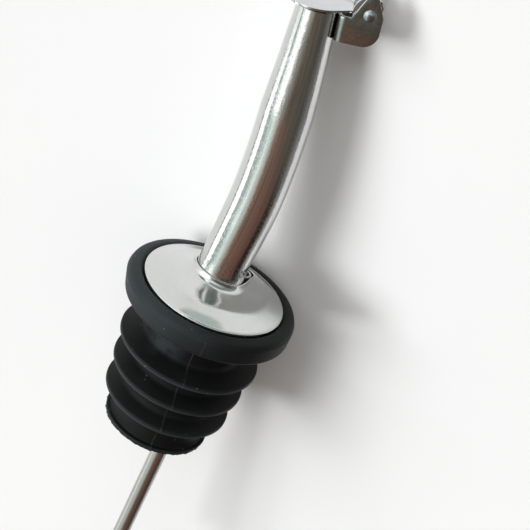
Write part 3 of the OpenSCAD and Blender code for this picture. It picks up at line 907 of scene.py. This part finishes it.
# The room that metal mirrors, in rings from low to high. Each ring gives colours by their turn in degrees from
# the camera's side, negative to the left: a window between dark frames, a pale wall, brown furniture and a
# dark corner
LOW_RING = (
    (-100, (0.7, 0.72, 0.71)), (-97, (0.2, 0.23, 0.22)), (-91, (0.2, 0.23, 0.22)), (-88, (1.5, 1.54, 1.52)),
    (-68, (1.5, 1.54, 1.52)), (-65, (0.25, 0.3, 0.29)), (-34, (0.72, 0.85, 0.81)), (-24, (0.6, 0.65, 0.6)),
    (-4, (0.2, 0.12, 0.09)), (58, (0.13, 0.065, 0.05)), (67, (0.03, 0.02, 0.015)), (84, (0.03, 0.02, 0.015)),
    (98, (0.3, 0.3, 0.3)))
MIDDLE_RING = (
    (-100, (0.75, 0.77, 0.76)), (-70, (0.8, 0.85, 0.83)), (-67, (0.13, 0.16, 0.15)), (-51, (0.15, 0.18, 0.17)),
    (-48, (1.3, 1.32, 1.31)), (-32, (1.3, 1.32, 1.31)), (-24, (0.42, 0.42, 0.39)), (8, (0.12, 0.1, 0.08)),
    (66, (0.075, 0.07, 0.06)), (98, (0.2, 0.2, 0.2)))
UPPER_RING = (
    (-110, (0.8, 0.82, 0.81)), (-40, (1.0, 1.02, 1.01)), (10, (0.6, 0.68, 0.66)), (60, (0.2, 0.2, 0.2)),
    (110, (0.3, 0.3, 0.3)))
TOP_RING = (
    (-120, (0.4, 0.42, 0.41)), (-75, (0.15, 0.16, 0.16)), (-46, (0.15, 0.16, 0.16)), (-40, (1.1, 1.1, 1.1)),
    (-18, (1.1, 1.1, 1.1)), (-10, (0.2, 0.24, 0.23)), (70, (0.18, 0.2, 0.19)), (100, (0.5, 0.5, 0.5)))
CEILING = (0.42, 0.48, 0.46)
# Heights between which each ring, and then the ceiling, takes over from what is below it
MIDDLE_RISE, UPPER_RISE, TOP_RISE, CEILING_RISE = (-0.42, -0.345), (0.1, 0.3), (0.66, 0.78), (0.9, 0.96)
# The window's glass: its direction over the table, the cosines outside and inside its soft edge, and its colour
GLASS_AT, GLASS_EDGE, GLASS = (46, 144), (0.85, 0.95), (1.6, 1.65, 1.63)
ROOM_STRENGTH = 1.26


def over_table(off, turn):
    """A direction above the table, from its angle off the normal and its turn in the picture."""
    off, turn = math.radians(off), math.radians(turn)
    flat = TABLE_ACROSS * math.cos(turn) + TABLE_ALONG * math.sin(turn)
    return TABLE_NORMAL * math.cos(off) + flat * math.sin(off)


def table():
    """A pale table behind the part. It has one side, so the part also shows from behind it."""
    middle = -TABLE_NORMAL * TABLE_DEPTH
    points = [middle + TABLE_ACROSS * x + TABLE_ALONG * y for x, y in (
        (-TABLE_FAR, -TABLE_FAR), (TABLE_RIGHT, -TABLE_FAR), (TABLE_RIGHT, TABLE_END), (-TABLE_FAR, TABLE_END))]
    mesh = bpy.data.meshes.new("table")
    mesh.from_pydata([p * MM for p in points], [], [(0, 1, 2, 3)])
    mesh.update()
    obj = add_object("table", mesh)
    material, n, shader = principled("pale_table", Roughness=0.9, Specular_IOR_Level=0.1)
    n.link(n.ramp(n.noise(n.coordinates(), 12.0, 3.0), PAPER), shader.inputs["Base Color"])
    behind = n.add("ShaderNodeNewGeometry").outputs["Backfacing"]
    n.output(n.mix_shader(behind, shader.outputs[0], n.add("ShaderNodeBsdfTransparent").outputs[0]))
    mesh.materials.append(material)


def room():
    """White to the camera, a plain fill to matt surfaces, and a room with a window and a dark side to metal."""
    world = bpy.data.worlds.new("room")
    bpy.context.scene.world = world
    n = Nodes(world)
    direction = n.coordinates("Generated")

    def along(axis):
        return n.vector_math("DOT_PRODUCT", direction, axis)

    height = along((0, 0, 1))
    place = n.spread(n.math("ARCTAN2", along(RIGHT), along(TOWARDS)), -math.pi, math.pi)

    def ring(table):
        return n.ramp(place, [((degrees + 180) / 360, colour) for degrees, colour in table])

    view = ring(LOW_RING)
    for rise, above in ((MIDDLE_RISE, ring(MIDDLE_RING)), (UPPER_RISE, ring(UPPER_RING)),
                        (TOP_RISE, ring(TOP_RING)), (CEILING_RISE, CEILING)):
        view = n.mix(n.spread(height, *rise), view, above)
    view = n.mix(n.spread(along(over_table(*GLASS_AT)), *GLASS_EDGE), view, GLASS)

    path = n.add("ShaderNodeLightPath").outputs
    mirrored = n.math("MAXIMUM", path["Is Glossy Ray"], path["Is Transmission Ray"])
    lit = n.mix_shader(mirrored, n.background(FILL, FILL_STRENGTH), n.background(view, ROOM_STRENGTH))
    n.output(n.mix_shader(path["Is Camera Ray"], lit, n.background(WHITE, 1.0)), "ShaderNodeOutputWorld")


def lamps():
    for name, off, turn, width, energy in LAMPS:
        data = bpy.data.lights.new(name, "SUN")
        data.energy = energy
        data.angle = math.radians(width)
        data.color = LAMP_COLOUR
        lamp = add_object(name, data)
        lamp.rotation_mode = "QUATERNION"
        lamp.rotation_quaternion = over_table(off, turn).to_track_quat("Z", "Y")
        lamp.visible_glossy = False


table()
room()
lamps()
bpy.context.scene.view_settings.view_transform = "Standard"
